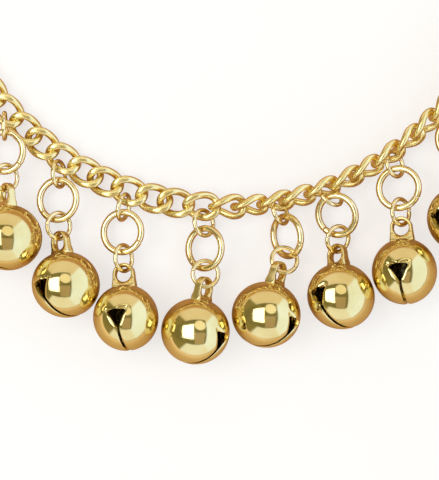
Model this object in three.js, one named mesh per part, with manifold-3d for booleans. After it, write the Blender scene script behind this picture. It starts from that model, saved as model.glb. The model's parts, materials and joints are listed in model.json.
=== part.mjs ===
// Ankle chain with eight jingle bells, laid flat on a table with its clasp undone.
// Millimetres, +Z up. Seen from above the bells lie towards -Y and +X is to the right.
// The links follow a circle, and every bell hangs on three jump rings from the side of a link.
import * as THREE from 'three';
import { mergeVertices } from 'three/addons/utils/BufferGeometryUtils.js';
import Module from 'manifold-3d';

// Curb chain
const CHAIN_RADIUS = 42.8;
const FIRST_DROP_ANGLE = -138.1;
const LINK_LENGTH = 5.82;
const LINK_WIDTH = 4.5;
const LINK_WIRE = 1.12;
const LINK_TWIST = 0.72;
const LINK_FLAT_HEIGHT = 2.1;
const LINK_FUSE = 0.24;
const LINK_PLAY = 0.3;
const LINK_ROLL = 66;
const SIDE_WIRE_HEIGHT = 1.75;
const END_LINK_HEIGHT = 1.4;
const END_RING_HEIGHT = 1.7;

// Where the links are propped up, turned on edge and laid back, in links past the first drop's link.
const PROP_UP = [-7, -1];
const TURN_UP = [8, 11];
const LAY_BACK = [22, 27];
const END_LIFT_LINKS = 4;

// Places on a link's wire, as a share of a turn from its front end.
const FRONT_WIRE = 0;
const BACK_WIRE = 0.5;
const LOWER_WIRE = 0.75;
const HOOK_SLIDE = 0.14;
const HOOK_SLIDE_STEP = 0.01;

// Jump rings
const BIG_RING_DIAMETER = 6.9;
const BIG_RING_WIRE = 1.0;
const SMALL_RING_DIAMETER = 4.5;
const SMALL_RING_WIRE = 0.68;
const END_RING_DIAMETER = 5.0;
const END_RING_WIRE = 0.8;
const RING_CUT = 0.14;
const RING_PLAY = 0.14;
const BIG_RING_CUT_ANGLE = 52;
const SMALL_RING_CUT_ANGLE = 100;
const END_RING_CUT_ANGLE = 90;

// Bells
const BELL_DIAMETER = 10.4;
const BELL_ACROSS_SLIT = 9.6;
const BELL_HEIGHT = 9.8;
const BELL_WALL = 0.55;
const EYE_DIAMETER = 3.6;
const EYE_THICKNESS = 0.62;
const EYE_WIDTH = 1.15;
const EYE_SINK = 0.12;
const SLIT_WIDTH = 0.45;
const FUNNEL_WIDTH = 2.8;
const FUNNEL_LENGTH = 2.4;
const FUNNEL_TOP = 0.1;
const FUNNEL_FLARE = 0.37;
const PELLET_DIAMETER = 3.0;
const PELLET_PLAY = 0.5;

// Clasp
const CLASP_LENGTH = 9.6;
const CLASP_WIDTH = 6.6;
const CLASP_THICKNESS = 2.2;
const CLASP_LIMB = 1.5;
const CLASP_ROOT = 2.25;
const CLASP_LOOP_DIAMETER = 2.8;
const CLASP_LOOP_WIRE = 0.7;
const GATE_LENGTH = 4.6;
const GATE_INSET = 0.4;
const GATE_TOP = 0.2;
const LEVER_THICKNESS = 1.1;
const LEVER_TOP = 0.4;
const LEVER_TAB = 1.1;
const LEVER_TAB_WIDTH = 1.2;
const LEVER_BOSS = 1.7;
const PIVOT_DROP = 0.97;
const PIN_DIAMETER = 0.7;
const CLASP_PLAY = 0.16;

// How the chain is split into runs of links, from its plain end to the clasp.
const TAIL_LINKS = 6;
const TAIL_RUNS = 3;
const FRONT_RUNS = [3, 3, 3, 3, 2, 3, 3, 3];
const DROP_LINK_IN_RUN = 1;

// How each drop lies, in degrees. A heading is measured from straight down (-Y) towards +X, for the
// upper ring, big ring, lower ring and bell; a roll leans the piece's face to the right, and a ring's
// slope lifts its far side. A slack, in millimetres, lets a ring lie closer to what carries it.
const DROPS = [
  { headings: [0, 1, 6, 2], rolls: [90, -20, 34, -58] },
  { headings: [-4, -2, 6, 8], rolls: [64, -22, 32, -44] },
  { headings: [-20, 10, -2, 3], rolls: [66, -18, 52, -14], slopes: [20, 8, 8] },
  { headings: [-8, 6, -3, -11], rolls: [42, -34, 12, 56], slopes: [20, 8, 6] },
  { headings: [14, 16, -46, -16], rolls: [60, -48, -4, 58], slopes: [12, 10, 20] },
  {
    headings: [-2, 10, -4, 4],
    rolls: [30, -26, 34, -44],
    slopes: [58, -8, -8],
    slacks: [0.7, 0, 0.3],
  },
  {
    headings: [6, 10, 0, 3],
    rolls: [50, -12, 46, -13],
    slopes: [40, 10, 6],
    slacks: [0.1, 0.2, 0.3],
  },
  { headings: [12, 14, 0, 2], rolls: [60, -34, 12, -48], slopes: [20, 4, -6] },
];
const RING_SLOPES = [18, 4, -2];
const RING_SLACKS = [0, 0, 0];
const END_RING_ROLL = -32;

// Facets
const LINK_STEPS = 10;
const LINK_SIDES = 6;
const TAIL_STEPS = 10;
const TAIL_SIDES = 5;
const BIG_RING_STEPS = 14;
const SMALL_RING_STEPS = 12;
const WIRE_SIDES = 6;
const EYE_STEPS = 10;
const LOOP_STEPS = 12;
const BALL_AROUND = 16;
const BALL_DOWN = 9;
const HOLLOW_AROUND = 10;
const HOLLOW_DOWN = 6;
const POST_SIDES = 12;
const OVAL_SEGMENTS = 12;
const ARC_SEGMENTS = 3;
const MERGE_DISTANCE = 1e-4;
const SEARCH_STEP = 0.02;
const SEARCH_POINTS = 72;
const SETTLE_ROUNDS = 4;
const LEAN_STEP = 2;
const LEAN_LIMIT = 30;

const FRONT_LINKS = FRONT_RUNS.reduce((sum, count) => sum + count);
const FIRST_LINK = -TAIL_RUNS * TAIL_LINKS - DROP_LINK_IN_RUN;
const LAST_LINK = FIRST_LINK + 2 * TAIL_RUNS * TAIL_LINKS + FRONT_LINKS - 1;
const LINK_HALF_LENGTH = (LINK_LENGTH - LINK_WIRE) / 2;
const LINK_HALF_WIDTH = (LINK_WIDTH - LINK_WIRE) / 2;
const FUSED_PITCH = 2 * LINK_HALF_LENGTH - LINK_WIRE + LINK_FUSE;
const FREE_PITCH = 2 * LINK_HALF_LENGTH - LINK_WIRE - LINK_PLAY;
const EYE_RADIUS = (EYE_DIAMETER - EYE_THICKNESS) / 2;
const EYE_CENTRE = BELL_HEIGHT / 2 - EYE_SINK + EYE_DIAMETER / 2;
const BIG_RING = { radius: (BIG_RING_DIAMETER - BIG_RING_WIRE) / 2, wire: BIG_RING_WIRE };
const SMALL_RING = { radius: (SMALL_RING_DIAMETER - SMALL_RING_WIRE) / 2, wire: SMALL_RING_WIRE };
const END_RING = { radius: (END_RING_DIAMETER - END_RING_WIRE) / 2, wire: END_RING_WIRE };
const EYE_RING = { radius: EYE_RADIUS, wire: (EYE_THICKNESS + EYE_WIDTH) / 2 };

const UP = new THREE.Vector3(0, 0, 1);
const radians = THREE.MathUtils.degToRad;
const degrees = THREE.MathUtils.radToDeg;
const smooth = THREE.MathUtils.smoothstep;

const GILT = { color: 0xd8ad4a, roughness: 0.22, metalness: 1 };
const PALE_GILT = { color: 0xe3c878, roughness: 0.25, metalness: 1 };
const STEEL = { color: 0x8f8d88, roughness: 0.35, metalness: 1 };

const wasm = await Module();
wasm.setup();

const anklet = new THREE.Group();

// Solids

function bare(geometry) {
  const copy = geometry.clone();
  copy.deleteAttribute('normal');
  copy.deleteAttribute('uv');
  return mergeVertices(copy, MERGE_DISTANCE);
}

function solid(geometry) {
  const merged = bare(geometry);
  const mesh = new wasm.Mesh({
    numProp: 3,
    vertProperties: new Float32Array(merged.attributes.position.array),
    triVerts: new Uint32Array(merged.index.array),
  });
  return new wasm.Manifold(mesh);
}

function geometryOf(body) {
  const mesh = body.getMesh();
  const geometry = new THREE.BufferGeometry();
  geometry.setAttribute('position', new THREE.BufferAttribute(mesh.vertProperties, 3));
  geometry.setIndex(new THREE.BufferAttribute(mesh.triVerts, 1));
  return geometry;
}

function piece(name, geometry, finish) {
  const mesh = new THREE.Mesh(geometry, new THREE.MeshStandardMaterial(finish));
  mesh.name = name;
  anklet.add(mesh);
  return mesh;
}

/** Says which line a piece turns about where it hangs on the piece before it. */
function hinge(mesh, parent, at, axis) {
  mesh.userData.hinge = { parent, at: at.clone(), axis: axis.clone().normalize() };
}

/** A piece swings about a line through its seat. A positive angle lifts its far side if way is 1. */
function swing(mesh, parent, seat, line, way) {
  const side = Math.sign(line.dot(seat.level));
  hinge(mesh, parent, seat.hook.at, line.clone().multiplyScalar(-side * way));
}

// Chain

class LinkLine extends THREE.Curve {
  // An oval whose shoulders rise and fall, so that each link passes over and under the next.
  getPoint(fraction, target = new THREE.Vector3()) {
    const turn = 2 * Math.PI * fraction;
    const x = LINK_HALF_LENGTH * Math.cos(turn);
    const y = LINK_HALF_WIDTH * Math.sin(turn);
    return target.set(x, y, -LINK_TWIST * Math.sin(2 * turn));
  }
}

function linkGeometry(steps, sides) {
  const geometry = bare(new THREE.TubeGeometry(new LinkLine(), steps, LINK_WIRE / 2, sides, true));
  const places = geometry.attributes.position;
  const half = LINK_FLAT_HEIGHT / 2;
  for (let i = 0; i < places.count; i += 1) {
    places.setZ(i, THREE.MathUtils.clamp(places.getZ(i), -half, half));
  }
  return geometry;
}

/** The links from the plain end to the clasp end, each with its angle on the circle and its run. */
function layLinks() {
  const tail = Array(TAIL_RUNS).fill(TAIL_LINKS);
  const runs = [...tail, ...FRONT_RUNS, ...tail];
  const links = [];
  let angle = 0;
  runs.forEach((count, run) => {
    for (let place = 0; place < count; place += 1) {
      const pitch = place === 0 ? FREE_PITCH : FUSED_PITCH;
      angle += degrees(2 * Math.asin(pitch / (2 * CHAIN_RADIUS)));
      links.push({ run, place, angle });
    }
  });
  const first = links.findIndex((link) => link.run === TAIL_RUNS) + DROP_LINK_IN_RUN;
  const shift = FIRST_DROP_ANGLE - links[first].angle;
  links.forEach((link, index) => {
    link.angle += shift;
    link.number = index - first;
  });
  return links;
}

/** Roll of a link about the chain: flat on the left, turned up on edge past the fourth drop. */
function linkRoll(number) {
  return LINK_ROLL * (smooth(number, ...TURN_UP) - smooth(number, ...LAY_BACK));
}

/** Height of a link's middle: propped on the rings along the front, flat on the table at the tails. */
function linkHeight(number, roll) {
  const propped = SIDE_WIRE_HEIGHT + LINK_HALF_WIDTH * Math.sin(radians(roll));
  const flat = LINK_FLAT_HEIGHT / 2 + LINK_HALF_WIDTH * Math.sin(radians(roll));
  const front = smooth(number, ...PROP_UP) - smooth(number, ...LAY_BACK);
  const plainEnd = smooth(-number, -FIRST_LINK - END_LIFT_LINKS, -FIRST_LINK);
  const claspEnd = smooth(number, LAST_LINK - END_LIFT_LINKS, LAST_LINK);
  const lift = (plainEnd + claspEnd) * (END_LINK_HEIGHT - flat);
  return THREE.MathUtils.lerp(flat, propped, front) + lift;
}

function placeLink(link) {
  const turn = radians(link.angle);
  const roll = linkRoll(link.number);
  const along = new THREE.Vector3(-Math.sin(turn), Math.cos(turn), 0);
  const inward = new THREE.Vector3(-Math.cos(turn), -Math.sin(turn), 0);
  const height = linkHeight(link.number, roll);
  link.along = along;
  link.inward = inward;
  link.matrix = new THREE.Matrix4().makeBasis(along, inward, UP);
  link.matrix.multiply(new THREE.Matrix4().makeRotationX(radians(roll)));
  link.matrix.setPosition(CHAIN_RADIUS * Math.cos(turn), CHAIN_RADIUS * Math.sin(turn), height);
}

function linkPoints(link) {
  const points = new LinkLine().getPoints(SEARCH_POINTS);
  return points.map((point) => point.applyMatrix4(link.matrix));
}

/** A place on a link's wire, with the way that the wire runs there. */
function linkHook(link, fraction) {
  const line = new LinkLine();
  const at = line.getPoint(fraction).applyMatrix4(link.matrix);
  const along = line.getTangent(fraction).transformDirection(link.matrix);
  return { at, along };
}

const links = layLinks();
links.forEach(placeLink);

/** The wire of a link and of the links beside it, which a ring there keeps clear of. */
function pointsAround(link) {
  const nearby = links.filter((other) => Math.abs(other.number - link.number) <= 1);
  return nearby.flatMap(linkPoints);
}

const middle = (link) => new THREE.Vector3().setFromMatrixPosition(link.matrix);

function runName(run) {
  if (run < TAIL_RUNS) {
    return `left_tail_${TAIL_RUNS - run}`;
  }
  if (run < TAIL_RUNS + FRONT_RUNS.length) {
    return `chain_run_${run - TAIL_RUNS + 1}`;
  }
  return `right_tail_${run - TAIL_RUNS - FRONT_RUNS.length + 1}`;
}

function makeRun(run) {
  const own = links.filter((link) => link.run === run);
  const isTail = runName(run).includes('tail');
  const shape = isTail ? linkGeometry(TAIL_STEPS, TAIL_SIDES) : linkGeometry(LINK_STEPS, LINK_SIDES);
  const bodies = own.map((link) => solid(shape.clone().applyMatrix4(link.matrix)));
  const joined = bodies.reduce((sum, body) => sum.add(body));
  return piece(runName(run), geometryOf(joined), PALE_GILT);
}

const RUN_COUNT = FRONT_RUNS.length + 2 * TAIL_RUNS;
const ROOT_RUN = RUN_COUNT / 2 - 1;
const runs = Array.from({ length: RUN_COUNT }, (_, run) => makeRun(run));

/** Runs bend away from the root run about a level line across the chain where two links meet. */
function hingeRuns() {
  for (let run = 0; run < RUN_COUNT; run += 1) {
    if (run !== ROOT_RUN) {
      const towardsRoot = run < ROOT_RUN ? run + 1 : run - 1;
      const last = links.findLast((link) => link.run === Math.min(run, towardsRoot));
      const next = links.find((link) => link.run === Math.max(run, towardsRoot));
      const at = middle(last).add(middle(next)).multiplyScalar(0.5);
      const across = last.inward.clone().add(next.inward);
      hinge(runs[run], runName(towardsRoot), at, across);
    }
  }
}
hingeRuns();

// Rings

class RingLine extends THREE.Curve {
  constructor(radius, cutAngle) {
    super();
    this.radius = radius;
    this.start = cutAngle + RING_CUT / 2 / radius;
    this.sweep = 2 * Math.PI - RING_CUT / radius;
  }

  getPoint(fraction, target = new THREE.Vector3()) {
    const turn = this.start + this.sweep * fraction;
    return target.set(this.radius * Math.cos(turn), this.radius * Math.sin(turn), 0);
  }
}

/** A jump ring: round wire bent to a circle, with its two cut ends a hair apart. */
function ringGeometry(size, cutAngle, steps) {
  const section = new THREE.Shape().absarc(0, 0, size.wire / 2, 0, 2 * Math.PI);
  const extrudePath = new RingLine(size.radius, radians(cutAngle));
  const options = { steps, curveSegments: ARC_SEGMENTS, extrudePath, bevelEnabled: false };
  return new THREE.ExtrudeGeometry(section, options);
}

/** Axes of a piece that points along a heading, slopes up, and is rolled about its own line. */
function axesOf(heading, slope, roll) {
  const turn = radians(heading);
  const rise = radians(slope);
  const lean = radians(roll);
  const level = new THREE.Vector3(Math.cos(turn), Math.sin(turn), 0);
  const ahead = new THREE.Vector3(Math.sin(turn), -Math.cos(turn), 0);
  const u = ahead.multiplyScalar(Math.cos(rise)).addScaledVector(UP, Math.sin(rise));
  const above = new THREE.Vector3().crossVectors(u, level);
  const w = level.clone().multiplyScalar(Math.cos(lean)).addScaledVector(above, -Math.sin(lean));
  const n = new THREE.Vector3().crossVectors(u, w);
  return { u, w, n, level };
}

function distanceToCircle(point, centre, n, radius) {
  const offset = point.clone().sub(centre);
  const height = offset.dot(n);
  const reach = Math.sqrt(Math.max(0, offset.lengthSq() - height * height));
  return Math.hypot(reach - radius, height);
}

/** Hangs a ring on a wire at the first of its hooks that it fits: the ring slides along its own
 *  line only as deep as it has to before it is clear of every point of what carries it. */
function hang(carrier, size, axesAt, slack = 0) {
  const clear = (carrier.wire + size.wire) / 2 + RING_PLAY;
  let best = { gap: -Infinity };
  for (let depth = clear + slack; depth < size.radius && best.gap < clear; depth += SEARCH_STEP) {
    for (const hook of carrier.hooks) {
      const axes = axesAt(hook.at, depth);
      const centre = hook.at.clone().addScaledVector(axes.u, size.radius - depth);
      const gaps = carrier.points.map((point) => distanceToCircle(point, centre, axes.n, size.radius));
      const gap = Math.min(...gaps);
      if (gap > best.gap && best.gap < clear) {
        best = { ...axes, ...size, centre, hook, gap, depth };
      }
    }
  }
  return best;
}

function ringPoints(ring) {
  return Array.from({ length: SEARCH_POINTS }, (_, index) => {
    const turn = (2 * Math.PI * index) / SEARCH_POINTS;
    const point = ring.centre.clone().addScaledVector(ring.u, ring.radius * Math.cos(turn));
    return point.addScaledVector(ring.w, ring.radius * Math.sin(turn));
  });
}

/** The far side of a ring, as the wire that the next piece hangs on. The next piece slides along
 *  the wire half of the way to where it pulls. */
function carrierOf(ring, pull) {
  const inPlane = pull.clone().addScaledVector(ring.n, -pull.dot(ring.n)).normalize();
  const towards = inPlane.add(ring.u).normalize();
  const at = ring.centre.clone().addScaledVector(towards, ring.radius);
  const along = new THREE.Vector3().crossVectors(ring.n, towards);
  return { hooks: [{ at, along }], points: ringPoints(ring), wire: ring.wire };
}

function place(mesh, axes, at) {
  mesh.quaternion.setFromRotationMatrix(new THREE.Matrix4().makeBasis(axes.u, axes.w, axes.n));
  mesh.position.copy(at);
}

function ringPiece(name, ring, cutAngle, steps) {
  const mesh = piece(name, ringGeometry(ring, cutAngle, steps), GILT);
  place(mesh, ring, ring.centre);
  return mesh;
}

// Bells

/** A ball with its poles on X, inset by a wall, and narrower across the slit (Y) than along it (Z). */
function ball(wall, around, down) {
  const geometry = new THREE.SphereGeometry(1, around, down);
  geometry.rotateZ(-Math.PI / 2);
  return geometry.scale(...bellHalves().map((half) => half - wall));
}

function bellHalves() {
  return [BELL_HEIGHT / 2, BELL_ACROSS_SLIT / 2, BELL_DIAMETER / 2];
}

/** The cut across the mouth: a narrow slit that opens into a funnel on each side of the bell. */
function slitCutter() {
  const outline = new THREE.Shape();
  const halfSlit = SLIT_WIDTH / 2;
  const halfFunnel = FUNNEL_WIDTH / 2;
  const throat = FUNNEL_TOP + FUNNEL_LENGTH;
  const bend = FUNNEL_TOP + FUNNEL_LENGTH / 2;
  const halfBend = THREE.MathUtils.lerp(halfSlit, halfFunnel, FUNNEL_FLARE);
  outline.moveTo(BELL_DIAMETER, -halfSlit);
  outline.lineTo(BELL_DIAMETER, halfSlit);
  outline.lineTo(throat, halfSlit);
  outline.quadraticCurveTo(bend, halfBend, FUNNEL_TOP, halfFunnel);
  outline.lineTo(FUNNEL_TOP, -halfFunnel);
  outline.quadraticCurveTo(bend, -halfBend, throat, -halfSlit);
  const depth = 2 * BELL_DIAMETER;
  const options = { depth, curveSegments: ARC_SEGMENTS, bevelEnabled: false };
  const geometry = new THREE.ExtrudeGeometry(outline, options);
  return geometry.translate(0, 0, -BELL_DIAMETER);
}

function bellGeometry() {
  const eye = new THREE.TorusGeometry(EYE_RADIUS, EYE_THICKNESS / 2, WIRE_SIDES, EYE_STEPS);
  eye.scale(1, 1, EYE_WIDTH / EYE_THICKNESS);
  eye.translate(-EYE_CENTRE, 0, 0);
  const outside = ball(0, BALL_AROUND, BALL_DOWN);
  const hollow = ball(BELL_WALL, HOLLOW_AROUND, HOLLOW_DOWN);
  const body = solid(outside).add(solid(eye));
  return geometryOf(body.subtract(solid(hollow)).subtract(solid(slitCutter())));
}

// Drops

const bellShape = bellGeometry();
const pelletShape = new THREE.IcosahedronGeometry(PELLET_DIAMETER / 2, 1);

/** The lower side wire of a link, which a drop hangs on. The ring may hook on the middle of the
 *  wire, or slide along it to either side. */
function sideWire(link) {
  const hooks = [];
  for (let slide = 0; slide <= HOOK_SLIDE; slide += HOOK_SLIDE_STEP) {
    hooks.push(linkHook(link, LOWER_WIRE + slide), linkHook(link, LOWER_WIRE - slide));
  }
  return { hooks, points: pointsAround(link), wire: LINK_WIRE };
}

/** Height of a bell's centre when it lies on the table, turned to some axes. */
function lyingHeight(axes) {
  const [height, across, along] = bellHalves();
  return Math.hypot(height * axes.u.z, across * axes.w.z, along * axes.n.z);
}

/** The bell lies on the table, so its slope follows from the height that the ring holds its eye at. */
function hangBell(ring, heading, spin) {
  const level = axesOf(heading, 0, spin);
  return hang(carrierOf(ring, level.u), EYE_RING, (hook, depth) => {
    const reach = EYE_RADIUS - depth + EYE_CENTRE;
    let axes = level;
    for (let round = 0; round < SETTLE_ROUNDS; round += 1) {
      const slope = degrees(Math.asin((lyingHeight(axes) - hook.z) / reach));
      axes = axesOf(heading, slope, spin);
    }
    return axes;
  });
}

/** Hangs the upper and big rings. The upper ring leans up or down only as far as the big ring needs
 *  to lie clear of the chain. */
function hangPair(wire, upperAxes, upperSlack, bigAxes, bigSlack) {
  const clear = (LINK_WIRE + BIG_RING.wire) / 2 + RING_PLAY;
  let best = { gap: -Infinity };
  for (let lean = 0; lean <= LEAN_LIMIT; lean += LEAN_STEP) {
    for (const lift of [lean, -lean]) {
      const upper = hang(wire, SMALL_RING, () => upperAxes(lift), upperSlack);
      const big = hang(carrierOf(upper, bigAxes.u), BIG_RING, () => bigAxes, bigSlack);
      const gaps = wire.points.map((point) => distanceToCircle(point, big.centre, big.n, big.radius));
      const gap = Math.min(...gaps);
      if (gap > best.gap && best.gap < clear) {
        best = { upper, big, gap };
      }
    }
  }
  return best;
}

function makeDrop(drop, index) {
  const number = index + 1;
  const run = TAIL_RUNS + index;
  const link = links.find((other) => other.run === run && other.place === DROP_LINK_IN_RUN);
  const [upperHeading, bigHeading, lowerHeading, bellHeading] = drop.headings;
  const [upperRoll, bigRoll, lowerRoll, bellSpin] = drop.rolls;
  const side = index % 2 === 0 ? 1 : -1;

  const [upperSlope, bigSlope, lowerSlope] = drop.slopes ?? RING_SLOPES;
  const [upperSlack, bigSlack, lowerSlack] = drop.slacks ?? RING_SLACKS;
  const upperAxes = (lift) => axesOf(upperHeading, upperSlope + lift, upperRoll);
  const bigAxes = axesOf(bigHeading, bigSlope, bigRoll);
  const lowerAxes = axesOf(lowerHeading, lowerSlope, lowerRoll);

  const wire = sideWire(link);
  const { upper, big } = hangPair(wire, upperAxes, upperSlack, bigAxes, bigSlack);
  const upperMesh = ringPiece(`upper_ring_${number}`, upper, -SMALL_RING_CUT_ANGLE * side, SMALL_RING_STEPS);
  swing(upperMesh, runName(run), upper, link.along, side);

  const bigMesh = ringPiece(`big_ring_${number}`, big, BIG_RING_CUT_ANGLE * side, BIG_RING_STEPS);
  swing(bigMesh, upperMesh.name, big, big.level, -side);

  const lower = hang(carrierOf(big, lowerAxes.u), SMALL_RING, () => lowerAxes, lowerSlack);
  const lowerMesh = ringPiece(`lower_ring_${number}`, lower, SMALL_RING_CUT_ANGLE * side, SMALL_RING_STEPS);
  swing(lowerMesh, bigMesh.name, lower, lower.level, side);

  const bell = hangBell(lower, bellHeading, bellSpin);
  const bellMesh = piece(`bell_${number}`, bellShape, GILT);
  const bellCentre = bell.centre.clone().addScaledVector(bell.u, EYE_CENTRE);
  place(bellMesh, bell, bellCentre);
  swing(bellMesh, lowerMesh.name, bell, bell.level, -side);

  const pelletMesh = piece(`pellet_${number}`, pelletShape, STEEL);
  const fall = (BELL_ACROSS_SLIT - PELLET_DIAMETER) / 2 - BELL_WALL - PELLET_PLAY;
  pelletMesh.position.copy(bellCentre).addScaledVector(UP, -fall);
  hinge(pelletMesh, bellMesh.name, bellCentre, bell.u);
}
DROPS.forEach(makeDrop);

// Clasp and end ring

/** The end wire of the first or last link, with the way that the chain leaves it. */
function endWire(link, fraction) {
  const hook = linkHook(link, fraction);
  const ahead = hook.at.clone().sub(middle(link));
  const heading = degrees(Math.atan2(ahead.x, -ahead.y));
  return { hooks: [hook], heading, points: pointsAround(link), wire: LINK_WIRE };
}

/** The ring's far side lies at a given height above the table. */
function hangEndRing(name, wire, size, parent, farHeight) {
  const ring = hang(wire, size, (hook, depth) => {
    const rise = (farHeight - hook.z) / (2 * size.radius - depth);
    return axesOf(wire.heading, degrees(Math.asin(rise)), END_RING_ROLL);
  });
  const mesh = ringPiece(name, ring, END_RING_CUT_ANGLE, SMALL_RING_STEPS);
  swing(mesh, parent, ring, ring.hook.along, 1);
  return ring;
}

const plainEnd = endWire(links[0], BACK_WIRE);
hangEndRing('end_ring', plainEnd, END_RING, runs[0].name, END_RING_HEIGHT);

const claspEnd = endWire(links[links.length - 1], FRONT_WIRE);
const claspRingHeight = CLASP_LOOP_DIAMETER / 2;
const lastRun = runs[RUN_COUNT - 1].name;
const claspRing = hangEndRing('clasp_ring', claspEnd, SMALL_RING, lastRun, claspRingHeight);

function flatOval(centreX, halfLength, halfWidth, thickness, floor) {
  const outline = new THREE.Shape().absellipse(centreX, 0, halfLength, halfWidth, 0, 2 * Math.PI);
  const options = { depth: thickness, curveSegments: OVAL_SEGMENTS, bevelEnabled: false };
  return solid(new THREE.ExtrudeGeometry(outline, options).translate(0, 0, floor));
}

function block(x0, x1, y0, y1, z0, z1) {
  const geometry = new THREE.BoxGeometry(x1 - x0, y1 - y0, z1 - z0);
  return solid(geometry.translate((x0 + x1) / 2, (y0 + y1) / 2, (z0 + z1) / 2));
}

function post(x, y, diameter, z0, z1) {
  const geometry = new THREE.CylinderGeometry(diameter / 2, diameter / 2, z1 - z0, POST_SIDES);
  geometry.rotateX(Math.PI / 2);
  return geometry.translate(x, y, (z0 + z1) / 2);
}

// The clasp's own frame: X from its tail loop to its nose, underside on z = 0, gate towards -Y.
const LOOP_RING = { radius: (CLASP_LOOP_DIAMETER - CLASP_LOOP_WIRE) / 2, wire: CLASP_LOOP_WIRE };
const HOOK_START = LOOP_RING.radius;
const HOOK_END = HOOK_START + CLASP_LENGTH;
const HOOK_MIDDLE = (HOOK_START + HOOK_END) / 2;
const GATE_END = HOOK_END - CLASP_LIMB - GATE_INSET;
const GATE_START = GATE_END - GATE_LENGTH;
const LEVER_FLOOR = (CLASP_THICKNESS - LEVER_THICKNESS) / 2;
const BORE_DIAMETER = PIN_DIAMETER + 2 * CLASP_PLAY;
const PIVOT_X = GATE_START - LEVER_BOSS / 4;
const THROAT_HALF_LENGTH = (CLASP_LENGTH - CLASP_LIMB - CLASP_ROOT) / 2;
const THROAT_HALF_WIDTH = CLASP_WIDTH / 2 - CLASP_LIMB;
const THROAT_MIDDLE = HOOK_END - CLASP_LIMB - THROAT_HALF_LENGTH;
const PIVOT_Y = -throatHalfAt(PIVOT_X) - PIVOT_DROP;

/** Half the width of the clasp's throat at a place along it, or nothing in the solid root. */
function throatHalfAt(x) {
  const share = (x - THROAT_MIDDLE) / THROAT_HALF_LENGTH;
  return THROAT_HALF_WIDTH * Math.sqrt(Math.max(0, 1 - share * share));
}

function hookOval(thickness, floor) {
  return flatOval(HOOK_MIDDLE, CLASP_LENGTH / 2, CLASP_WIDTH / 2, thickness, floor);
}

function throatOval() {
  const thickness = 3 * CLASP_THICKNESS;
  return flatOval(THROAT_MIDDLE, THROAT_HALF_LENGTH, THROAT_HALF_WIDTH, thickness, -CLASP_THICKNESS);
}

function claspBodyGeometry() {
  const loop = new THREE.TorusGeometry(LOOP_RING.radius, LOOP_RING.wire / 2, WIRE_SIDES, LOOP_STEPS);
  loop.rotateX(Math.PI / 2);
  loop.translate(0, 0, CLASP_LOOP_DIAMETER / 2);
  const top = 2 * CLASP_THICKNESS;
  const gate = block(GATE_START, GATE_END, -CLASP_WIDTH, -GATE_TOP, -top, top);
  const slotFloor = LEVER_FLOOR - CLASP_PLAY;
  const slotStart = PIVOT_X - LEVER_BOSS / 2 - CLASP_PLAY;
  const slotTop = PIVOT_Y + LEVER_BOSS / 2 + CLASP_PLAY;
  const slot = block(slotStart, GATE_END, -CLASP_WIDTH, slotTop, slotFloor, CLASP_THICKNESS - slotFloor);
  const bore = solid(post(PIVOT_X, PIVOT_Y, BORE_DIAMETER, -top, top));
  const body = hookOval(CLASP_THICKNESS, 0).subtract(throatOval()).add(solid(loop));
  const nose = block(GATE_END, HOOK_END, -CLASP_WIDTH, 0, -top, top);
  const kept = body.subtract(gate).subtract(slot.subtract(nose)).subtract(bore);
  return geometryOf(kept);
}

function claspLeverGeometry() {
  const limb = hookOval(LEVER_THICKNESS, LEVER_FLOOR).subtract(throatOval());
  const roof = LEVER_FLOOR + LEVER_THICKNESS;
  const tip = GATE_END - CLASP_PLAY;
  const span = block(PIVOT_X, tip, -CLASP_WIDTH, -LEVER_TOP, LEVER_FLOOR, roof);
  const boss = solid(post(PIVOT_X, PIVOT_Y, LEVER_BOSS, LEVER_FLOOR, roof));
  const tabMiddle = GATE_START + GATE_LENGTH / 3;
  const tabFoot = -CLASP_WIDTH / 2 + CLASP_LIMB / 2;
  const tabEnd = -CLASP_WIDTH / 2 - LEVER_TAB;
  const tabStart = tabMiddle - LEVER_TAB_WIDTH / 2;
  const tab = block(tabStart, tabStart + LEVER_TAB_WIDTH, tabEnd, tabFoot, LEVER_FLOOR, roof);
  const bore = solid(post(PIVOT_X, PIVOT_Y, BORE_DIAMETER, LEVER_FLOOR - roof, 2 * roof));
  return geometryOf(limb.intersect(span).add(boss).add(tab).subtract(bore));
}

function makeClasp() {
  const carrier = carrierOf(claspRing, claspRing.u);
  const level = { u: claspRing.u.clone().setZ(0).normalize(), n: UP };
  level.w = new THREE.Vector3().crossVectors(UP, level.u);
  const loopAxes = { u: level.u, w: UP, n: level.w, level: level.w };
  const loop = hang(carrier, LOOP_RING, () => loopAxes);
  const at = loop.centre.clone().setZ(0);
  const frame = new THREE.Group();
  place(frame, level, at);
  anklet.add(frame);

  const body = piece('clasp_body', claspBodyGeometry(), GILT);
  const lever = piece('clasp_lever', claspLeverGeometry(), GILT);
  const pin = piece('lever_pin', post(PIVOT_X, PIVOT_Y, PIN_DIAMETER, 0, CLASP_THICKNESS), STEEL);
  frame.add(body, lever, pin);
  frame.updateMatrixWorld(true);
  swing(body, 'clasp_ring', loop, loop.level, 1);
  const pivot = new THREE.Vector3(PIVOT_X, PIVOT_Y, 0).applyMatrix4(frame.matrix);
  hinge(lever, 'clasp_body', pivot, UP);
}
makeClasp();

// The part's origin is on the table, under the middle of its box.
const box = new THREE.Box3().setFromObject(anklet, true);
const centre = box.getCenter(new THREE.Vector3());
anklet.position.set(-centre.x, -centre.y, -box.min.z);
anklet.updateMatrixWorld(true);

export default anklet;
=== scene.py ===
"""Looks of the chain of ankle bells: links, jump rings, bells and clasp, in metres, in the model's frame."""

import json

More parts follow.
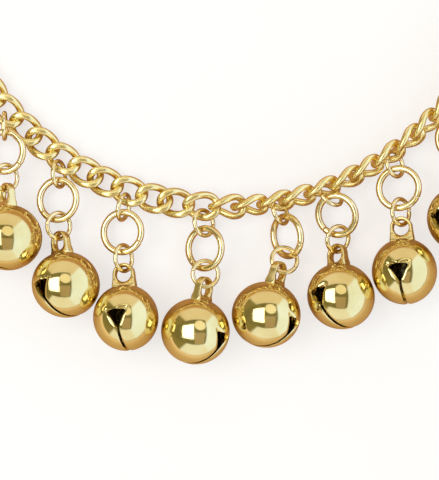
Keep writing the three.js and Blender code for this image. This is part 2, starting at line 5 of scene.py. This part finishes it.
import bmesh
import bpy
import numpy as np
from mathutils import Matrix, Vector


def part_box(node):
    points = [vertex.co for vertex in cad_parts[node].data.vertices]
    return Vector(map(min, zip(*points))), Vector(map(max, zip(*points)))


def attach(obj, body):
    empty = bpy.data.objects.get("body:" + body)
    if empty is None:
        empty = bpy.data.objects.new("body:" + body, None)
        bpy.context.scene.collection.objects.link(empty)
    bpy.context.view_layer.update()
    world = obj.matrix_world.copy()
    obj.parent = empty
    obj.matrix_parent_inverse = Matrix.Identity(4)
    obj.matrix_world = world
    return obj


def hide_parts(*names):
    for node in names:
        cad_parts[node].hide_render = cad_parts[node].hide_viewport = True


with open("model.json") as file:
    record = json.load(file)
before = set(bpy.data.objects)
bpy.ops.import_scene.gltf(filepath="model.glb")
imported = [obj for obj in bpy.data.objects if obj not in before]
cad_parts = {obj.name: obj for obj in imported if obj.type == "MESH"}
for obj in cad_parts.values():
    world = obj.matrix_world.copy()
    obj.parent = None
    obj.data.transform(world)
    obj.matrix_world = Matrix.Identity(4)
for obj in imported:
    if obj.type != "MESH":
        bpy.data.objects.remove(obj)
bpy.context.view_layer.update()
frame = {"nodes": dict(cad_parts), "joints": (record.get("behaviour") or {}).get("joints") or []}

MM = 0.001
TURN = 2 * np.pi
ABOVE_ZERO = 1e-3
DROPS = range(1, 9)

# Chain: a curb chain bent round a circle, with its links twisted and filed flat.
CHAIN_RADIUS = 42.8 * MM
CHAIN_CENTRE = np.array([-0.00738, 10.43723, 0.06]) * MM
LINK_LENGTH = 5.77 * MM
LINK_WIDTH = 4.45 * MM
LINK_WIRE = 1.07 * MM
LINK_TWIST = 0.72 * MM
LINK_FLAT = 1.05 * MM
FLAT_EDGE = 0.17 * MM
LINK_STEPS = (80, 24)
FUSED_PITCH = 3.82 * MM
FREE_PITCH = 3.28 * MM
RUN_LINKS = (6, 6, 6, 3, 3, 3, 3, 2, 3, 3, 3, 6, 6, 6)
FIRST_DROP_RUN = 3
FIRST_DROP_ANGLE = np.radians(-138.1)
LINK_ROLL = np.radians(66)
SIDE_WIRE_HEIGHT = 1.75 * MM
END_LINK_HEIGHT = 1.4 * MM
PROP_UP = (-7, -1)
TURN_UP = (8, 11)
LAY_BACK = (22, 27)
END_LIFT_LINKS = 4

# Jump rings: across the outside, and the wire.
BIG_RING = (6.86 * MM, 0.96 * MM)
SMALL_RING = (4.45 * MM, 0.63 * MM)
END_RING = (5.0 * MM, 0.8 * MM)
RING_CUT = 0.08 * MM
RING_END_EASE = 0.06 * MM
RING_END_FILL = 0.9
RING_STEPS = (150, 24)
STATION_GAP = 0.01

# Bells
BELL_HALVES = np.array([4.86, 4.76, 5.16]) * MM
BELL_WALL = 0.55 * MM
SLIT_HALF = 0.225 * MM
FUNNEL_HALF = 1.48 * MM
FUNNEL_LENGTH = 2.25 * MM
FUNNEL_TOP = 0.25 * MM
FUNNEL_CROWN = 0.42 * MM
FUNNEL_BULGE = 0.74
CROWN_POWER = 3
SLIT_LIP = (0.08 * MM, 0.30 * MM)
FUNNEL_LIP = (0.20 * MM, 0.50 * MM)
LIP_STOPS = 240

# Steps of a bell's skin: along the slit, the funnel, its crown, the stretch above it and the rest to the eye,
# and out from the slot, crowded towards it by a power.
SLIT_STEPS, FUNNEL_STEPS, CROWN_STEPS, BESIDE_STEPS, TOP_STEPS = 24, 26, 20, 14, 32
BESIDE_TURN = 0.2
OUTER_STEPS, INNER_STEPS, RIM_STEPS = 48, 14, 4
CROWDING = 1.7

# Eye of a bell: a lug with a round hole, whose sides run down and spread into the crown.
EYE_CENTRE = 6.58 * MM
EYE_HOLE = 1.12 * MM
EYE_OUTSIDE = 1.66 * MM
EYE_FOOT = 2.7 * MM
EYE_FLARE = 0.2
EYE_HALF_THICKNESS = 0.60 * MM
EYE_SPREAD = (-5.85 * MM, -4.75 * MM, 0.4)
EYE_BLEND = 8
EYE_SQUARENESS = 0.5
EYE_STEPS = (120, 40)
EYE_CLEAR = 0.3 * MM

PELLET_RADIUS = 1.5 * MM
PELLET_STEPS = (33, 64)

# Clasp: how far its edges are rounded, and the turn in degrees below which two of its faces are one.
BODY_EASE, LEVER_EASE, PIN_EASE = 0.2 * MM, 0.15 * MM, 0.06 * MM
EASE_STEPS = 3
FLAT_TURN = 1

# Edges that turn by more degrees than this stay sharp, and points and edges closer than these are merged.
SKIN_CREASE, CLASP_CREASE = 50, 35
SEAM, SLIVER, CORNER = 1e-7, 1e-8, 1e-6

# The photograph's frame on the table.
VIEW_CENTRE = np.array([-0.507, -37.270]) * MM
VIEW_HEIGHT = 70.56 * MM
VIEW_LEVEL = 4.0 * MM
CAMERA_HEIGHT = 0.42
CLIP_START = 0.01
SENSOR = 24.0


def smooth(x, low, high):
    """Rises from 0 at low to 1 at high, level at both ends."""
    t = np.clip((x - low) / (high - low), 0.0, 1.0)
    return t * t * (3 - 2 * t)


def unit(v):
    """Each row of v at length one."""
    return v / np.linalg.norm(v, axis=-1, keepdims=True)


def grid_faces(rows, columns, close_rows=False, close_columns=False):
    """Quads between neighbouring points of a grid, round to the first row or column where it closes."""
    i, j = np.meshgrid(
        np.arange(rows if close_rows else rows - 1),
        np.arange(columns if close_columns else columns - 1),
        indexing="ij",
    )
    i2, j2 = (i + 1) % rows, (j + 1) % columns
    corners = [i * columns + j, i2 * columns + j, i2 * columns + j2, i * columns + j2]
    return np.stack(corners, axis=-1).reshape(-1, 4)


def surface(points, close_rows=False, close_columns=False):
    """A grid of points as a list of points and a list of quads."""
    rows, columns = points.shape[:2]
    return points.reshape(-1, 3), grid_faces(rows, columns, close_rows, close_columns)


def make_piece(name, surfaces, material, node):
    """One smooth closed mesh from several surfaces, standing for a node and moving with its body."""
    starts = np.cumsum([0] + [len(p) for p, _ in surfaces[:-1]])
    points = np.concatenate([p for p, _ in surfaces])
    faces = np.concatenate([f + start for (_, f), start in zip(surfaces, starts)])
    mesh = bpy.data.meshes.new(name)
    mesh.from_pydata(points.tolist(), [], faces.tolist())
    return finish_piece(name, mesh, material, node, SKIN_CREASE)


def finish_piece(name, mesh, material, node, crease):
    """Closes seams, faces the mesh outwards, smooths it below the crease angle and ties it to its node."""
    shape = bmesh.new()
    shape.from_mesh(mesh)
    bmesh.ops.remove_doubles(shape, verts=shape.verts, dist=SEAM)
    bmesh.ops.dissolve_degenerate(shape, edges=shape.edges, dist=SLIVER)
    bmesh.ops.recalc_face_normals(shape, faces=shape.faces)
    shape.to_mesh(mesh)
    shape.free()
    mesh.shade_smooth()
    mesh.set_sharp_from_angle(angle=np.radians(crease))
    piece = bpy.data.objects.new(name, mesh)
    bpy.context.scene.collection.objects.link(piece)
    mesh.materials.clear()
    mesh.materials.append(material)
    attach(piece, node if node != "lever_pin" else "clasp_body")
    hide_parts(node)
    return piece


def node_points(node):
    """The corners of a node of the model."""
    mesh = frame["nodes"][node].data
    points = np.empty(len(mesh.vertices) * 3)
    mesh.vertices.foreach_get("co", points)
    return points.reshape(-1, 3)


# Materials: clouds to the metre and their detail, the span of the clouds used, and the depth of ripples.
TONE_CLOUDS, WEAR_CLOUDS, RIPPLE_CLOUDS, PAPER_CLOUDS = (260, 3), (1800, 4), (700, 2), (60, 3)
CLOUD_SPAN = (0.3, 0.7)
RIPPLE_DEPTH = 0.1 * MM


def cloudy(tree, clouds, where):
    """A noise pattern of so many clouds to the metre, with so much detail."""
    noise = tree.nodes.new("ShaderNodeTexNoise")
    noise.inputs["Scale"].default_value, noise.inputs["Detail"].default_value = clouds
    tree.links.new(where, noise.inputs["Vector"])
    return noise.outputs["Fac"]


def metal(name, deep, pale, gloss, ripple):
    """Polished metal: its colour drifts between two tones, fine wear clouds its gloss, and it ripples."""
    material = bpy.data.materials.new(name)
    material.use_nodes = True
    tree = material.node_tree
    shader = tree.nodes["Principled BSDF"]
    shader.inputs["Metallic"].default_value = 1.0
    where = tree.nodes.new("ShaderNodeTexCoord").outputs["Object"]

    tones = tree.nodes.new("ShaderNodeValToRGB")
    for stop, position, tone in zip(tones.color_ramp.elements, CLOUD_SPAN, (deep, pale)):
        stop.position, stop.color = position, (*tone, 1)
    tree.links.new(cloudy(tree, TONE_CLOUDS, where), tones.inputs["Fac"])
    tree.links.new(tones.outputs["Color"], shader.inputs["Base Color"])

    wear = tree.nodes.new("ShaderNodeMapRange")
    wear.inputs["From Min"].default_value, wear.inputs["From Max"].default_value = CLOUD_SPAN
    wear.inputs["To Min"].default_value, wear.inputs["To Max"].default_value = gloss
    tree.links.new(cloudy(tree, WEAR_CLOUDS, where), wear.inputs["Value"])
    tree.links.new(wear.outputs["Result"], shader.inputs["Roughness"])

    bump = tree.nodes.new("ShaderNodeBump")
    bump.inputs["Strength"].default_value = ripple
    bump.inputs["Distance"].default_value = RIPPLE_DEPTH
    tree.links.new(cloudy(tree, RIPPLE_CLOUDS, where), bump.inputs["Height"])
    tree.links.new(bump.outputs["Normal"], shader.inputs["Normal"])
    return material


GILT = metal("gilt", (0.81, 0.66, 0.28), (0.90, 0.78, 0.40), (0.08, 0.14), 0.05)
WIRE_GILT = metal("wire_gilt", (0.93, 0.76, 0.39), (0.99, 0.88, 0.55), (0.15, 0.20), 0.015)
CHAIN_GILT = metal("chain_gilt", (0.92, 0.75, 0.31), (0.99, 0.87, 0.46), (0.22, 0.30), 0.01)
LUG_GILT = metal("lug_gilt", (0.86, 0.70, 0.31), (0.95, 0.82, 0.45), (0.18, 0.26), 0.02)
CLASP_GILT = metal("clasp_gilt", (0.88, 0.71, 0.32), (0.96, 0.83, 0.46), (0.32, 0.42), 0.01)
STEEL = metal("steel", (0.30, 0.29, 0.28), (0.45, 0.44, 0.42), (0.25, 0.4), 0.2)


# Chain


def link_surface(number, angle):
    """A round wire along a twisted oval, filed flat above and below, laid on the chain's circle."""
    half_length = (LINK_LENGTH - LINK_WIRE) / 2
    half_width = (LINK_WIDTH - LINK_WIRE) / 2
    t, s = (np.linspace(0, TURN, steps, endpoint=False) for steps in LINK_STEPS)
    line = np.stack([half_length * np.cos(t), half_width * np.sin(t), -LINK_TWIST * np.sin(2 * t)], -1)
    ahead = np.stack([-half_length * np.sin(t), half_width * np.cos(t), -2 * LINK_TWIST * np.cos(2 * t)], -1)
    across = unit(np.cross(unit(ahead), [0, 0, 1]))
    over = np.cross(across, unit(ahead))
    section = np.cos(s)[:, None] * across[:, None] + np.sin(s)[:, None] * over[:, None]
    points = line[:, None] + LINK_WIRE / 2 * section
    tall = np.abs(points[..., 2])
    filed = -FLAT_EDGE * np.logaddexp(-tall / FLAT_EDGE, -LINK_FLAT / FLAT_EDGE)
    points[..., 2] = np.sign(points[..., 2]) * np.maximum(filed, 0)

    turned = smooth(number, *TURN_UP) - smooth(number, *LAY_BACK)
    roll = LINK_ROLL * turned
    flat = LINK_FLAT + half_width * np.sin(roll)
    propped = SIDE_WIRE_HEIGHT + half_width * np.sin(roll)
    front = smooth(number, *PROP_UP) - smooth(number, *LAY_BACK)
    first, last = LINK_NUMBERS[0], LINK_NUMBERS[-1]
    end = smooth(-number, -first - END_LIFT_LINKS, -first) + smooth(number, last - END_LIFT_LINKS, last)
    height = flat + (propped - flat) * front + end * (END_LINK_HEIGHT - flat)

    along = np.array([-np.sin(angle), np.cos(angle), 0])
    inward = np.array([-np.cos(angle), -np.sin(angle), 0])
    up = np.array([0, 0, 1.0])
    leaned = np.cos(roll) * inward + np.sin(roll) * up
    raised = np.cos(roll) * up - np.sin(roll) * inward
    place = CHAIN_CENTRE - CHAIN_RADIUS * inward + height * up
    return surface(place + points @ np.stack([along, leaned, raised]), True, True)


def run_name(run):
    """The node that a run of links belongs to, from the left end of the chain to the right."""
    if run < FIRST_DROP_RUN:
        return f"left_tail_{FIRST_DROP_RUN - run}"
    front_runs = len(RUN_LINKS) - 2 * FIRST_DROP_RUN
    if run < FIRST_DROP_RUN + front_runs:
        return f"chain_run_{run - FIRST_DROP_RUN + 1}"
    return f"right_tail_{run - FIRST_DROP_RUN - front_runs + 1}"


pitches = np.concatenate([[FREE_PITCH] + [FUSED_PITCH] * (count - 1) for count in RUN_LINKS])
angles = np.cumsum(2 * np.arcsin(pitches / (2 * CHAIN_RADIUS)))
first_drop_link = sum(RUN_LINKS[:FIRST_DROP_RUN]) + 1
LINK_ANGLES = angles - angles[first_drop_link] + FIRST_DROP_ANGLE
LINK_NUMBERS = np.arange(len(angles)) - first_drop_link
run_of_link = np.repeat(np.arange(len(RUN_LINKS)), RUN_LINKS)
for run in range(len(RUN_LINKS)):
    links = np.flatnonzero(run_of_link == run)
    wires = [link_surface(LINK_NUMBERS[k], LINK_ANGLES[k]) for k in links]
    make_piece(f"links_{run_name(run)}", wires, CHAIN_GILT, run_name(run))


# Jump rings


def ring_place(node):
    """Centre, axes (two in the plane, then the normal) and angle of the cut of a ring, by its node."""
    points = node_points(node)
    middle = points.mean(0)
    axes = np.linalg.svd(points - middle)[2]
    flat = (points - middle) @ axes[:2].T
    terms = np.column_stack([2 * flat, np.ones(len(flat))])
    fit = np.linalg.lstsq(terms, (flat**2).sum(1), rcond=None)[0][:2]
    around = np.sort(np.arctan2(flat[:, 1] - fit[1], flat[:, 0] - fit[0]))
    starts = np.concatenate([[True], np.diff(around) > STATION_GAP])
    stations = around[starts]
    steps = np.diff(np.append(stations, stations[0] + TURN))
    tight = np.argmin(steps)
    return middle + fit @ axes[:2], axes, stations[tight] + steps[tight] / 2


def ring_surface(node, size):
    """A round wire carried round a circle from one side of a narrow cut to the other, with eased ends."""
    outside, wire = size
    radius = (outside - wire) / 2
    centre, axes, cut = ring_place(node)
    half = RING_CUT / 2 / radius
    ease = RING_END_EASE / radius
    t = np.linspace(half + ease, TURN - half - ease, RING_STEPS[0])
    t = cut + np.concatenate([[half, half], t, [TURN - half, TURN - half]])
    fill = np.concatenate([[0, RING_END_FILL], np.ones(RING_STEPS[0]), [RING_END_FILL, 0]])
    s = np.linspace(0, TURN, RING_STEPS[1], endpoint=False)
    out = np.cos(t)[:, None] * axes[0] + np.sin(t)[:, None] * axes[1]
    normal = np.cross(axes[0], axes[1])
    thick = wire / 2 * fill[:, None, None]
    points = centre + radius * out[:, None] + thick * (
        np.cos(s)[:, None] * out[:, None] + np.sin(s)[:, None] * normal
    )
    return surface(points, False, True)


for drop in DROPS:
    for kind, size in (("upper", SMALL_RING), ("big", BIG_RING), ("lower", SMALL_RING)):
        node = f"{kind}_ring_{drop}"
        make_piece(f"wire_{node}", [ring_surface(node, size)], WIRE_GILT, node)
for node, size in (("end_ring", END_RING), ("clasp_ring", SMALL_RING)):
    make_piece(f"wire_{node}", [ring_surface(node, size)], WIRE_GILT, node)


# Bells


def slot_half_width(x):
    """Half the width of the opening at a height x towards the mouth: a slit that flares into a funnel."""
    up = np.clip((FUNNEL_TOP + FUNNEL_LENGTH - x) / FUNNEL_LENGTH, 0, 1)
    crown = np.clip((FUNNEL_TOP - x) / FUNNEL_CROWN, 0, 1)
    flare = FUNNEL_BULGE * up * (1 - up) + up**2
    return (SLIT_HALF + (FUNNEL_HALF - SLIT_HALF) * flare) * (1 - crown**CROWN_POWER) ** (1 / CROWN_POWER)


def lip_depth(alpha, beta, slot, edge):
    """How far the skin is turned in beside the slot: it dips with the square of the way into a strip along
    the edge, which is wider and deeper along the funnel than along the slit."""
    height, across, _ = BELL_HALVES
    outline = np.stack([height * alpha, across * edge], -1)[slot > 0]
    run = np.concatenate([[0], np.cumsum(np.linalg.norm(np.diff(outline, axis=0), axis=1))])
    stops = np.linspace(0, run[-1], LIP_STOPS)
    outline = np.stack([np.interp(stops, run, column) for column in outline.T], -1)
    skin = np.stack([height * alpha[:, None] * np.cos(beta), across * beta], -1)
    away = np.linalg.norm(skin[:, :, None] - outline, axis=-1)
    nearest = away.argmin(-1)
    wide = smooth(outline[nearest][..., 1], SLIT_HALF, FUNNEL_HALF / 2)
    drop = SLIT_LIP[0] + (FUNNEL_LIP[0] - SLIT_LIP[0]) * wide
    reach = SLIT_LIP[1] + (FUNNEL_LIP[1] - SLIT_LIP[1]) * wide
    return drop * np.clip(1 - away.min(-1) / reach, 0, 1) ** 2


def half_shell(side, inner):
    """Half of an oval ball cut along its slot, swept by an angle from the mouth and one out to the side."""
    height, across, along = BELL_HALVES
    crown_end = np.arccos((FUNNEL_TOP - FUNNEL_CROWN) / height)
    crown_start = np.arccos(FUNNEL_TOP / height)
    throat = np.arccos((FUNNEL_TOP + FUNNEL_LENGTH) / height)
    turn_in = crown_end - (crown_end - crown_start) * (1 - np.cos(np.linspace(0, np.pi / 2, CROWN_STEPS)))
    quarter = np.concatenate([
        np.linspace(0, throat, SLIT_STEPS)[:-1],
        np.linspace(throat, crown_start, FUNNEL_STEPS)[:-1],
        turn_in[::-1],
        np.linspace(crown_end, crown_end + BESIDE_TURN, BESIDE_STEPS)[1:],
        np.linspace(crown_end + BESIDE_TURN, np.pi, TOP_STEPS)[1:],
    ])
    alpha = np.concatenate([-quarter[:0:-1], quarter[:-1]])
    share = np.linspace(0, 1, INNER_STEPS if inner else OUTER_STEPS) ** CROWDING
    slot = slot_half_width(height * np.cos(alpha))
    edge = np.arcsin(slot / across)
    beta = edge[:, None] + (np.pi / 2 - edge[:, None]) * share
    inset = BELL_WALL if inner else lip_depth(alpha, beta, slot, edge)
    points = np.stack([
        (height - inset) * np.cos(alpha)[:, None] * np.cos(beta),
        side * (across - inset) * np.sin(beta),
        (along - inset) * np.sin(alpha)[:, None] * np.cos(beta),
    ], -1)
    return points, slot > 0


def bell_shell():
    """Outer and inner skins of both halves, with the cut edge of the wall between them along the slot."""
    skins = []
    for side in (-1, 1):
        outer, open_edge = half_shell(side, False)
        inner, _ = half_shell(side, True)
        skins.append(surface(outer, True))
        skins.append(surface(inner, True))
        share = np.linspace(0, 1, RIM_STEPS)[None, :, None]
        rim = outer[:, :1] * (1 - share) + inner[:, :1] * share
        points, faces = surface(rim, True)
        lined = open_edge | np.roll(open_edge, -1)
        skins.append((points, faces[np.repeat(lined, RIM_STEPS - 1)]))
    return skins


def bell_eye():
    """A ring round the hole, with a section that is round inside and squared outside: its outline is round
    above, and below it runs down straight sides to a foot that follows the crown inside its wall, where it
    grows thicker."""
    t, s = (np.linspace(0, TURN, steps, endpoint=False) for steps in EYE_STEPS)
    below = np.clip(-np.cos(t), ABOVE_ZERO, None)
    sides = EYE_OUTSIDE / np.maximum(np.abs(np.sin(t)), ABOVE_ZERO) * (1 + EYE_FLARE * below**2)
    foot = EYE_FOOT / below
    tapered = (sides**-EYE_BLEND + foot**-EYE_BLEND) ** (-1 / EYE_BLEND)
    outside = np.where(np.cos(t) > 0, EYE_OUTSIDE, tapered)
    power = np.where(np.cos(s) < 0, 1.0, EYE_SQUARENESS)
    squared = lambda wave: np.sign(wave) * np.abs(wave) ** power
    radius = (outside + EYE_HOLE)[:, None] / 2 + (outside - EYE_HOLE)[:, None] / 2 * squared(np.cos(s))
    x = -EYE_CENTRE - radius * np.cos(t)[:, None]
    y = radius * np.sin(t)[:, None]
    start, end, growth = EYE_SPREAD
    z = EYE_HALF_THICKNESS * squared(np.sin(s)) * (1 + growth * smooth(x, start, end))
    height, across, along = BELL_HALVES - BELL_WALL / 2
    x = np.minimum(x, -height * np.sqrt(1 - (y / across) ** 2 - (z / along) ** 2))
    return [surface(np.stack([x, y, z], -1), True, True)]


def bell_place(drop):
    """Centre and axes of a bell: down to its mouth, across its eye, and along its slit."""
    joint = next(j for j in frame["joints"] if j["child"] == f"pellet_{drop}")
    centre = np.array(joint["pos_m"])
    down = unit(np.array(joint["axis"], dtype=float))
    points = node_points(f"bell_{drop}") - centre
    eye = points[points @ down < -BELL_HALVES[0] - EYE_CLEAR]
    level = eye - (eye @ down)[:, None] * down
    across = np.linalg.svd(level - level.mean(0))[2][0]
    across = unit(across - (across @ down) * down)
    return centre, np.stack([down, across, np.cross(down, across)])


for drop in DROPS:
    centre, axes = bell_place(drop)
    for name, skins, gilt in (("shell", bell_shell(), GILT), ("eye", bell_eye(), LUG_GILT)):
        placed = [(centre + points @ axes, faces) for points, faces in skins]
        make_piece(f"{name}_bell_{drop}", placed, gilt, f"bell_{drop}")

    u = np.linspace(0, np.pi, PELLET_STEPS[0])[:, None]
    v = np.linspace(0, TURN, PELLET_STEPS[1], endpoint=False)[None]
    ball = np.stack([np.sin(u) * np.cos(v), np.sin(u) * np.sin(v), np.cos(u) + 0 * v], -1)
    low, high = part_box(f"pellet_{drop}")
    middle = (np.array(low) + np.array(high)) / 2
    skin = surface(middle + PELLET_RADIUS * ball, False, True)
    make_piece(f"ball_{drop}", [skin], STEEL, f"pellet_{drop}")


# Clasp


def eased_copy(node, material, ease):
    """A node's own shape with its edges rounded."""
    mesh = frame["nodes"][node].data.copy()
    mesh.name = f"eased_{node}"
    shape = bmesh.new()
    shape.from_mesh(mesh)
    bmesh.ops.remove_doubles(shape, verts=shape.verts, dist=CORNER)
    bmesh.ops.dissolve_limit(shape, angle_limit=np.radians(FLAT_TURN), verts=shape.verts, edges=shape.edges)
    shape.to_mesh(mesh)
    shape.free()
    piece = finish_piece(f"eased_{node}", mesh, material, node, CLASP_CREASE)
    bevel = piece.modifiers.new("eased edges", "BEVEL")
    bevel.width = ease
    bevel.segments = EASE_STEPS
    bevel.limit_method = "ANGLE"
    bevel.angle_limit = np.radians(CLASP_CREASE)
    return piece


eased_copy("clasp_body", CLASP_GILT, BODY_EASE)
eased_copy("clasp_lever", CLASP_GILT, LEVER_EASE)
eased_copy("lever_pin", STEEL, PIN_EASE)


# Table, light and camera


PANEL_HEIGHT = 0.5


def panel(name, left, right, front, back, radiance, colour, shape="RECTANGLE"):
    """A soft lamp that hangs level over the view, between two sides, a front and a back."""
    lamp = bpy.data.lights.new(name, "AREA")
    lamp.shape = shape
    lamp.size, lamp.size_y = right - left, back - front
    lamp.energy = radiance * np.pi * lamp.size * lamp.size_y
    lamp.color = colour
    light = bpy.data.objects.new(name, lamp)
    bpy.context.scene.collection.objects.link(light)
    light.location = (VIEW_CENTRE[0] + (left + right) / 2, VIEW_CENTRE[1] + (front + back) / 2, PANEL_HEIGHT)


panel("window", -0.59, -0.12, -0.24, 0.25, 2.8, (1.0, 1.0, 1.0))
panel("round_card", -0.10, 0.26, 0.05, 0.42, 0.66, (1.0, 0.94, 0.83), "ELLIPSE")
panel("low_card", -0.10, 0.22, -0.46, -0.03, 0.26, (1.0, 0.72, 0.60))


def math_node(tree, operation, *values):
    """A sum on numbers or on the results of other nodes."""
    node = tree.nodes.new("ShaderNodeMath")
    node.operation = operation
    for socket, value in zip(node.inputs, values):
        if isinstance(value, (int, float)):
            socket.default_value = value
        else:
            tree.links.new(value, socket)
    return node.outputs[0]


def rises(tree, value, low, high):
    """Goes from 0 to 1 as a value goes from low to high."""
    node = tree.nodes.new("ShaderNodeMapRange")
    node.inputs["From Min"].default_value = low
    node.inputs["From Max"].default_value = high
    tree.links.new(value, node.inputs["Value"])
    return node.outputs["Result"]


# Walls of the room: colours by compass angle in degrees from +X, and how far each leans from overhead.
DARK_LEFT = (0.183, 0.153, 0.06)
FRONT_WALL = (0.64, 0.65, 0.67)
RIGHT_WALL = (0.67, 0.77, 0.97)
BACK_WALL = (0.58, 0.51, 0.41)
COMPASS = (
    (-136, DARK_LEFT), (-130, FRONT_WALL), (-66, FRONT_WALL), (-60, RIGHT_WALL),
    (46, RIGHT_WALL), (52, BACK_WALL), (132, BACK_WALL), (138, DARK_LEFT),
)
WALL_STRENGTH = 1.5
CEILING = (0.215, 0.19, 0.08)
RIGHT_WALL_SLOPE = 0.6
END_WALL_SLOPE = 1.0
WALL_EDGE = 0.03


def room():
    """Light from all round: a dim ceiling, pale walls at the right, in front and behind, and a dark left."""
    world = bpy.data.worlds.new("room")
    world.use_nodes = True
    tree = world.node_tree
    way = tree.nodes.new("ShaderNodeSeparateXYZ")
    tree.links.new(tree.nodes.new("ShaderNodeTexCoord").outputs["Generated"], way.inputs[0])
    x, y, z = way.outputs

    sector = tree.nodes.new("ShaderNodeValToRGB")
    tree.links.new(rises(tree, math_node(tree, "ARCTAN2", y, x), -np.pi, np.pi), sector.inputs["Fac"])
    stops = sector.color_ramp.elements
    stops[0].position, stops[0].color = COMPASS[0][0] / 360 + 0.5, (*COMPASS[0][1], 1)
    stops[1].position, stops[1].color = COMPASS[-1][0] / 360 + 0.5, (*COMPASS[-1][1], 1)
    for degrees, colour in COMPASS[1:-1]:
        stops.new(degrees / 360 + 0.5).color = (*colour, 1)

    beside = math_node(tree, "MULTIPLY_ADD", z, -RIGHT_WALL_SLOPE, x)
    ahead = math_node(tree, "MULTIPLY_ADD", z, -END_WALL_SLOPE, math_node(tree, "ABSOLUTE", y))
    wall = rises(tree, math_node(tree, "MAXIMUM", beside, ahead), -WALL_EDGE, WALL_EDGE)

    ceiling = tree.nodes["Background"]
    ceiling.inputs["Color"].default_value = (*CEILING, 1)
    walls = tree.nodes.new("ShaderNodeBackground")
    walls.inputs["Strength"].default_value = WALL_STRENGTH
    tree.links.new(sector.outputs["Color"], walls.inputs["Color"])
    mix = tree.nodes.new("ShaderNodeMixShader")
    tree.links.new(wall, mix.inputs[0])
    tree.links.new(ceiling.outputs[0], mix.inputs[1])
    tree.links.new(walls.outputs[0], mix.inputs[2])
    tree.links.new(mix.outputs[0], tree.nodes["World Output"].inputs["Surface"])
    bpy.context.scene.world = world


room()


# Light that the table throws back, with painted shade: darkest under the bells, where the chain would shade
# the table, lighter a little in front of them, and palest far out from the chain.
TABLE_SHADE_SPAN = (62 * MM, 112 * MM)
TABLE_NEAR_SHADE = (0.58, 0.33, 0.16)
TABLE_FRONT = (0.67, 0.45, 0.24)
TABLE_FAR = (0.92, 0.72, 0.52)
TABLE_FRONT_SHARE = 0.2

# The sheet on the table: its colour, the darker share in its mottle, its gloss, and its glow.
PAPER = (0.40, 0.395, 0.39)
PAPER_MOTTLE = 0.95
PAPER_ROUGHNESS = 0.9
PAPER_GLOW = (1.0, 0.985, 0.975)
PAPER_GLOW_STRENGTH = 0.64
TABLE_HALF = 3.0


def paper_shader(tree):
    """A dull pale sheet with a faint mottle and a glow."""
    shader = tree.nodes.new("ShaderNodeBsdfPrincipled")
    shader.inputs["Roughness"].default_value = PAPER_ROUGHNESS
    where = tree.nodes.new("ShaderNodeTexCoord").outputs["Object"]
    tones = tree.nodes.new("ShaderNodeValToRGB")
    tones.color_ramp.elements[0].color = (*(PAPER_MOTTLE * np.array(PAPER)), 1)
    tones.color_ramp.elements[1].color = (*PAPER, 1)
    tree.links.new(cloudy(tree, PAPER_CLOUDS, where), tones.inputs["Fac"])
    tree.links.new(tones.outputs["Color"], shader.inputs["Base Color"])
    shader.inputs["Emission Color"].default_value = (*PAPER_GLOW, 1)
    shader.inputs["Emission Strength"].default_value = PAPER_GLOW_STRENGTH
    return shader


def table_top():
    """A wide white sheet under the chain, which throws only a dim warm light back at the metal, painted
    darker near the chain as the shade the chain casts on it.
    """
    material = bpy.data.materials.new("table_paper")
    material.use_nodes = True
    tree = material.node_tree
    tree.nodes.remove(tree.nodes["Principled BSDF"])
    bounce = tree.nodes.new("ShaderNodeBsdfDiffuse")
    # Painted shade: the colour the metal sees in the table darkens towards the chain's centre, in place of a
    # cast shadow.
    reach = tree.nodes.new("ShaderNodeVectorMath")
    reach.operation = "DISTANCE"
    reach.inputs[1].default_value = CHAIN_CENTRE
    tree.links.new(tree.nodes.new("ShaderNodeTexCoord").outputs["Object"], reach.inputs[0])
    tones = tree.nodes.new("ShaderNodeValToRGB")
    tree.links.new(rises(tree, reach.outputs["Value"], *TABLE_SHADE_SPAN), tones.inputs["Fac"])
    tree.links.new(tones.outputs["Color"], bounce.inputs["Color"])
    stops = tones.color_ramp.elements
    stops[0].color, stops[1].color = (*TABLE_NEAR_SHADE, 1), (*TABLE_FAR, 1)
    stops.new(TABLE_FRONT_SHARE).color = (*TABLE_FRONT, 1)
    sheet = paper_shader(tree)
    mix = tree.nodes.new("ShaderNodeMixShader")
    tree.links.new(tree.nodes.new("ShaderNodeLightPath").outputs["Is Camera Ray"], mix.inputs[0])
    tree.links.new(bounce.outputs[0], mix.inputs[1])
    tree.links.new(sheet.outputs[0], mix.inputs[2])
    tree.links.new(mix.outputs[0], tree.nodes["Material Output"].inputs["Surface"])
    mesh = bpy.data.meshes.new("table")
    corners = TABLE_HALF * np.array([(-1, -1, 0), (1, -1, 0), (1, 1, 0), (-1, 1, 0)])
    mesh.from_pydata(corners.tolist(), [], [(0, 1, 2, 3)])
    mesh.materials.append(material)
    table = bpy.data.objects.new("table", mesh)
    bpy.context.scene.collection.objects.link(table)


table_top()

lens = bpy.data.cameras.new("overhead")
lens.sensor_fit = "VERTICAL"
lens.sensor_height = SENSOR
lens.lens = SENSOR * (CAMERA_HEIGHT - VIEW_LEVEL) / VIEW_HEIGHT
lens.clip_start = CLIP_START
camera = bpy.data.objects.new("overhead", lens)
camera.location = (*VIEW_CENTRE, CAMERA_HEIGHT)
bpy.context.scene.collection.objects.link(camera)
bpy.context.scene.camera = camera
bpy.context.scene.view_settings.view_transform = "Standard"
